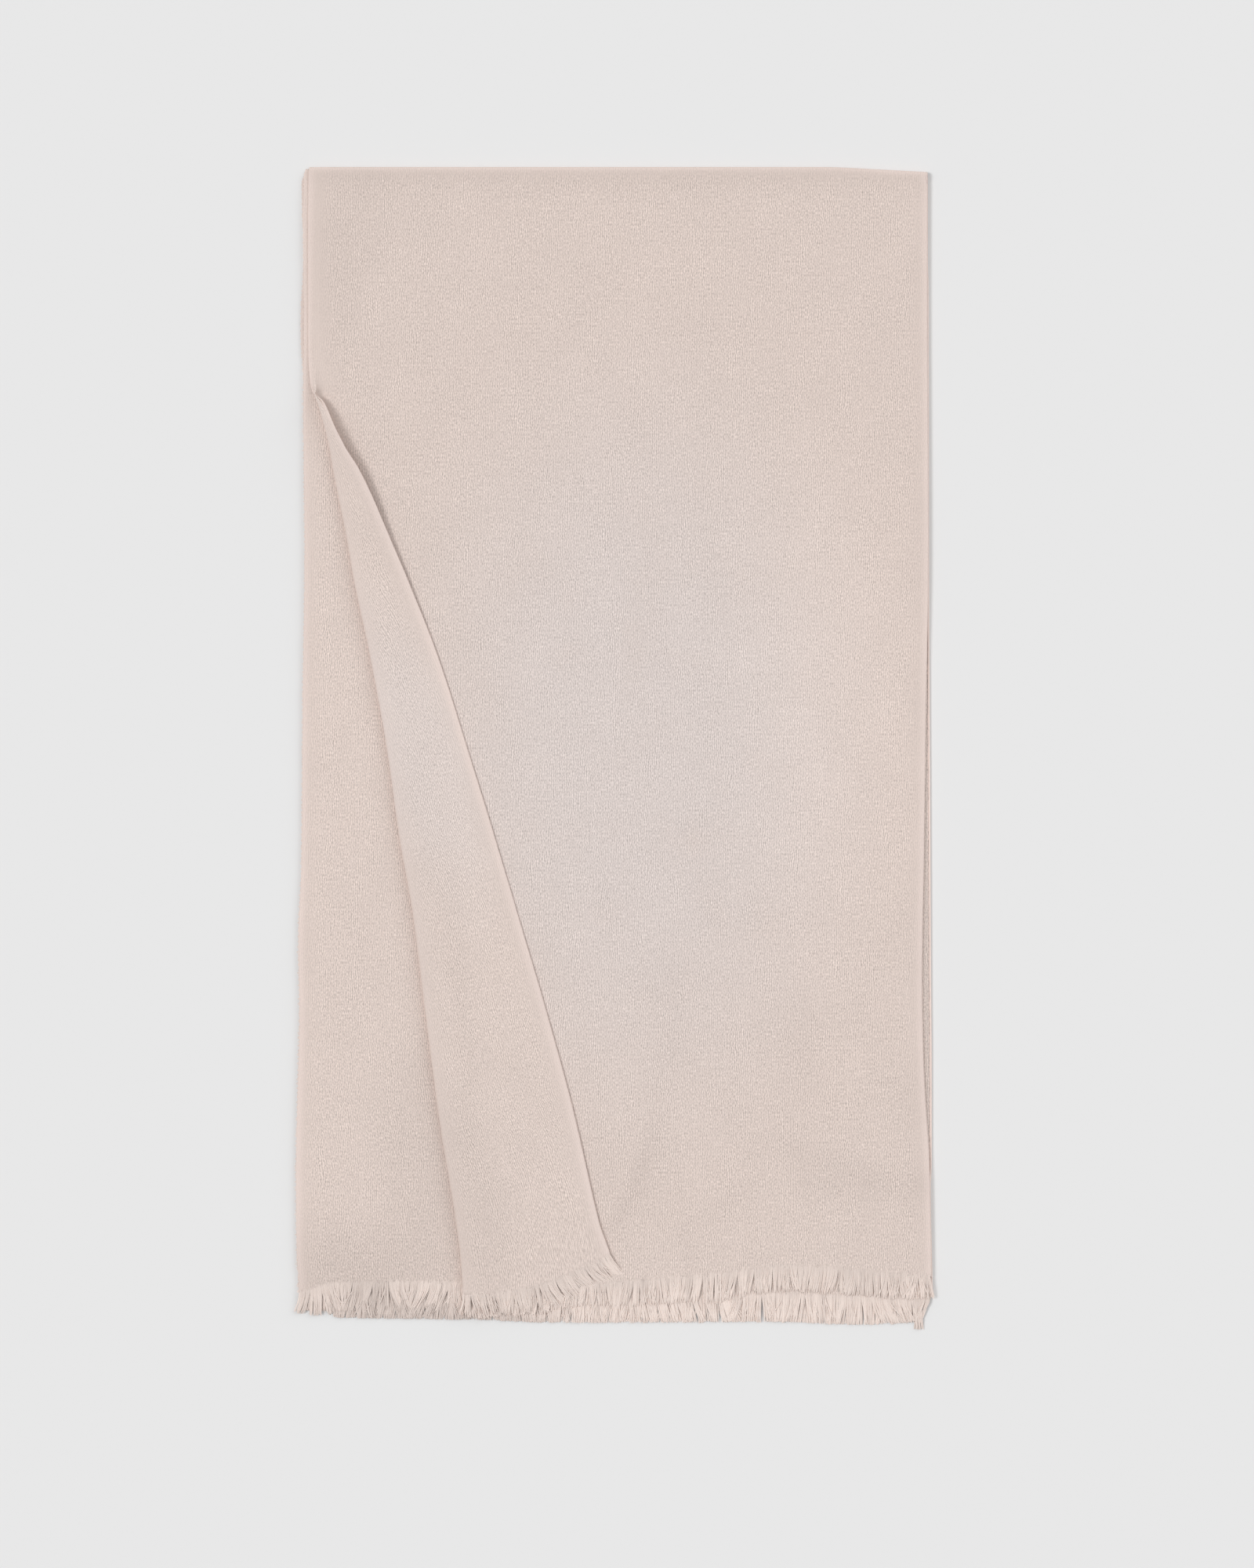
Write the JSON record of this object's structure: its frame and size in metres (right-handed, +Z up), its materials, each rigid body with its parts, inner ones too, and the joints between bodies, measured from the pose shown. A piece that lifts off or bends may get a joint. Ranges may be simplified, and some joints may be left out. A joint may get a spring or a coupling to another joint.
{
  "type": "folded pashmina shawl",
  "caption": "Fine woven pashmina shawl folded in four and lying flat, with a long edge of the top layer turned back and short eyelash fringe at the bottom.",
  "frame": {"origin": "middle of the folded shawl on the surface that it lies on", "axes": "+X across the cloth towards the lengthwise folds, +Y up the cloth towards the crosswise fold, +Z up; the fringed ends are at -Y"},
  "size_m": [0.5525, 1.0034, 0.017],
  "materials": {
    "cloth": "matte",
    "fringe": "matte"
  },
  "bodies": {
    "root": {"front_layer": "cloth", "under_layers": "cloth", "fringe_front": "fringe", "fringe_turned_back": "fringe", "fringe_second_layer": "fringe", "fringe_back_end": "fringe"}
  },
  "joints": []
}
